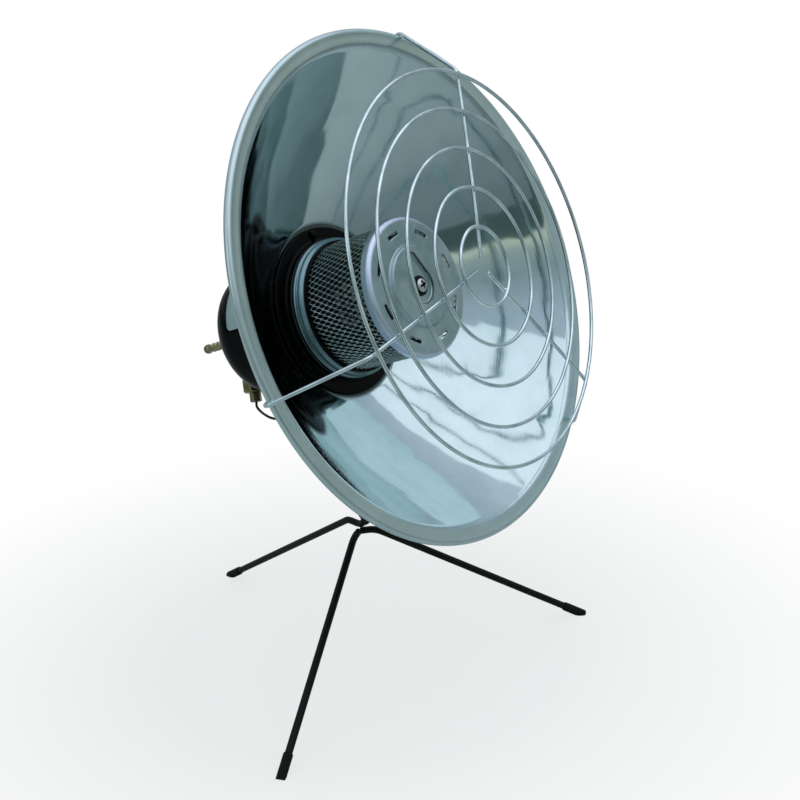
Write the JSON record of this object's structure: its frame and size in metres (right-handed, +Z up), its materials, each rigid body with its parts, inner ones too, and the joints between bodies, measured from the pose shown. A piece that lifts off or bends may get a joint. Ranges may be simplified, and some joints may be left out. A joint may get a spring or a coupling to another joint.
{
  "type": "parabolic heater",
  "caption": "Tilting gas heater: round polished dish with a wire guard, a caged burner on its axis, a black rear housing with a brass valve, on a rod tripod.",
  "frame": {"origin": "on the floor, under the middle of the heater's bounding box", "axes": "+Z up; the dish faces -Y and looks up by 20.7 degrees; +X is to the right of someone who stands behind it"},
  "size_m": [0.4, 0.3824, 0.5264],
  "materials": {
    "polished_aluminium": "spun and mirror polished, cool tint from the room",
    "chromed_wire": "bright chromed wire",
    "pressed_steel": "pressed stainless sheet, satin",
    "black_enamel": "black enamel, semi-gloss",
    "black_paint": "black powder coat, satin",
    "heat_steel": "perforated heat-resisting sheet, dull",
    "plain_steel": "zinc-plated",
    "brass": "turned brass, dulled",
    "black_sleeve": "black sleeved capillary",
    "silver_plate": "blank silver plate",
    "boot_rubber": "black moulded boot"
  },
  "bodies": {
    "stand": {"leg_rear": "black_paint", "leg_left": "black_paint", "leg_right": "black_paint", "boot_rear": "boot_rubber", "boot_left": "boot_rubber", "boot_right": "boot_rubber", "tilt_bolt": "plain_steel", "hinge_washer": "plain_steel"},
    "wing_nut": {"wing_nut": "plain_steel"},
    "push_button": {"push_button": "brass"},
    "head": {"reflector": "polished_aluminium", "guard_ring_1": "chromed_wire", "guard_ring_2": "chromed_wire", "guard_ring_3": "chromed_wire", "guard_ring_4": "chromed_wire", "guard_ring_5": "chromed_wire", "guard_spoke_top": "chromed_wire", "guard_spoke_right": "chromed_wire", "guard_spoke_left": "chromed_wire", "burner_base": "black_enamel", "burner_mesh": "heat_steel", "burner_screen": "heat_steel", "burner_cap": "pressed_steel", "cap_washer": "plain_steel", "tie_screw": "plain_steel", "tie_nut": "plain_steel", "diffuser": "plain_steel", "mixing_tube": "plain_steel", "rear_housing": "black_enamel", "label_plate": "silver_plate", "head_bracket": "black_paint", "bracket_rivet_left": "plain_steel", "bracket_rivet_right": "plain_steel", "thermocouple_lead": "black_sleeve", "thermocouple_probe": "plain_steel", "probe_clip": "plain_steel", "valve_body": "brass", "valve_bonnet": "brass", "button_spring": "plain_steel", "magnet_nut": "brass", "thermocouple_nut": "brass", "boss_nut": "brass", "injector": "brass", "hose_tail": "brass", "union_nut": "brass", "floor_screw_1": "plain_steel", "floor_nut_1": "plain_steel", "floor_screw_2": "plain_steel", "floor_nut_2": "plain_steel", "floor_screw_3": "plain_steel", "floor_nut_3": "plain_steel"}
  },
  "joints": [
    {"name": "head_tilt", "type": "hinge", "parent": "stand", "child": "head", "pos_m": [0, -0.02987, 0.139], "axis": [-1, 0, 0], "range_deg": [-20, 40]},
    {"name": "wing_nut_turn", "type": "hinge", "parent": "stand", "child": "wing_nut", "pos_m": [0.007, -0.02987, 0.139], "axis": [1, 0, 0], "continuous": true},
    {"name": "button_press", "type": "slide", "parent": "head", "child": "push_button", "axis": [-0.2924, -0.338, -0.8946], "range_m": [0, 0.005], "stiffness_N_per_m": 800, "springref_m": -0.002, "deforming": ["button_spring"]}
  ]
}
